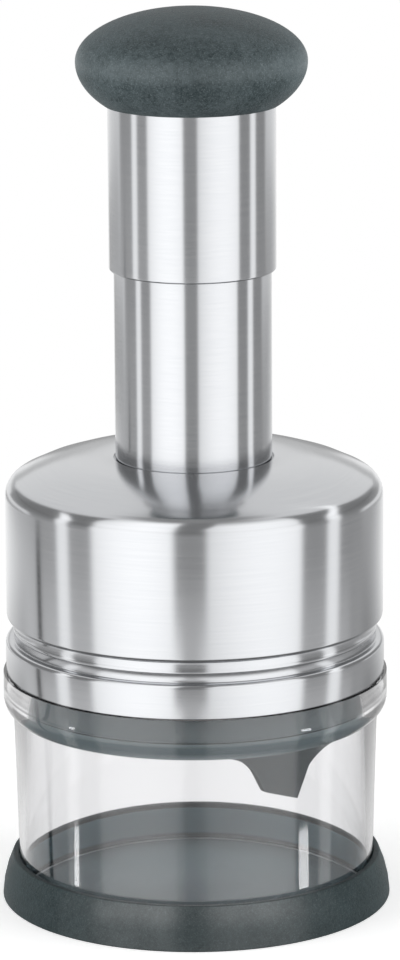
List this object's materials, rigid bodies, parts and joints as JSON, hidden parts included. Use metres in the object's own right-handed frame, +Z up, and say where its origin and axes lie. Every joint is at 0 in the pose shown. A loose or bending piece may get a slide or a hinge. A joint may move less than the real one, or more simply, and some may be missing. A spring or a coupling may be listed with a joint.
{
  "type": "plunger food chopper",
  "caption": "Hand food chopper: a soft mushroom knob on a telescoping steel tube drives a zigzag blade down into a clear cup that stands in a soft base cap.",
  "frame": {"origin": "centre of the base on the table", "axes": "+Z up along the plunger axis, -Y to the front that faces the viewer, +X to the viewer's right"},
  "size_m": [0.095, 0.095, 0.2183],
  "materials": {
    "soft_grip": "matte, fine grained",
    "tray_plastic": "glossy",
    "clear_plastic": "clear, polished",
    "brushed_shell": "brushed round the axis",
    "brushed_tube": "brushed",
    "dark_plastic": "satin",
    "slide_plastic": "satin",
    "plain_steel": "turned",
    "spring_steel": "drawn wire",
    "blade_steel": "ground"
  },
  "bodies": {
    "base": {"base_tray": "tray_plastic", "base_grip": "soft_grip"},
    "cup": {"chopping_cup": "clear_plastic"},
    "housing": {"housing_shell": "brushed_shell", "inner_frame": "dark_plastic", "guide_tube": "brushed_tube", "slide_ring": "slide_plastic", "guide_bush": "slide_plastic", "spring_seat": "plain_steel", "index_ring": "slide_plastic"},
    "plunger": {"plunger_rod": "plain_steel", "rod_foot": "plain_steel", "foot_screw": "plain_steel", "knob_core": "dark_plastic", "rod_nut": "plain_steel", "knob_grip": "soft_grip", "upper_sleeve": "brushed_tube", "return_spring": "spring_steel"},
    "wiper": {"wiper_plate": "dark_plastic"},
    "blade_unit": {"zigzag_blade": "blade_steel", "blade_carrier": "slide_plastic", "swivel_cap": "slide_plastic", "cap_screws": "plain_steel", "thrust_washer": "slide_plastic"}
  },
  "joints": [
    {"name": "cup_lift", "type": "slide", "parent": "base", "child": "cup", "axis": [0, 0, 1], "range_m": [0, 0.03]},
    {"name": "housing_lift", "type": "slide", "parent": "cup", "child": "housing", "axis": [0, 0, 1], "range_m": [0, 0.06]},
    {"name": "plunger_press", "type": "slide", "parent": "housing", "child": "plunger", "axis": [0, 0, -1], "range_m": [0, 0.0435], "stiffness_N_per_m": 350, "springref_m": -0.02, "deforming": ["return_spring"]},
    {"name": "wiper_turn", "type": "hinge", "parent": "housing", "child": "wiper", "pos_m": [0, 0, 0.048], "axis": [0, 0, 1], "continuous": true},
    {"name": "blade_press", "type": "slide", "parent": "wiper", "child": "blade_unit", "axis": [0, 0, -1], "range_m": [0, 0.0435]}
  ],
  "couplings": [
    {"joint": "blade_press", "follows": "plunger_press", "ratio": 1}
  ]
}
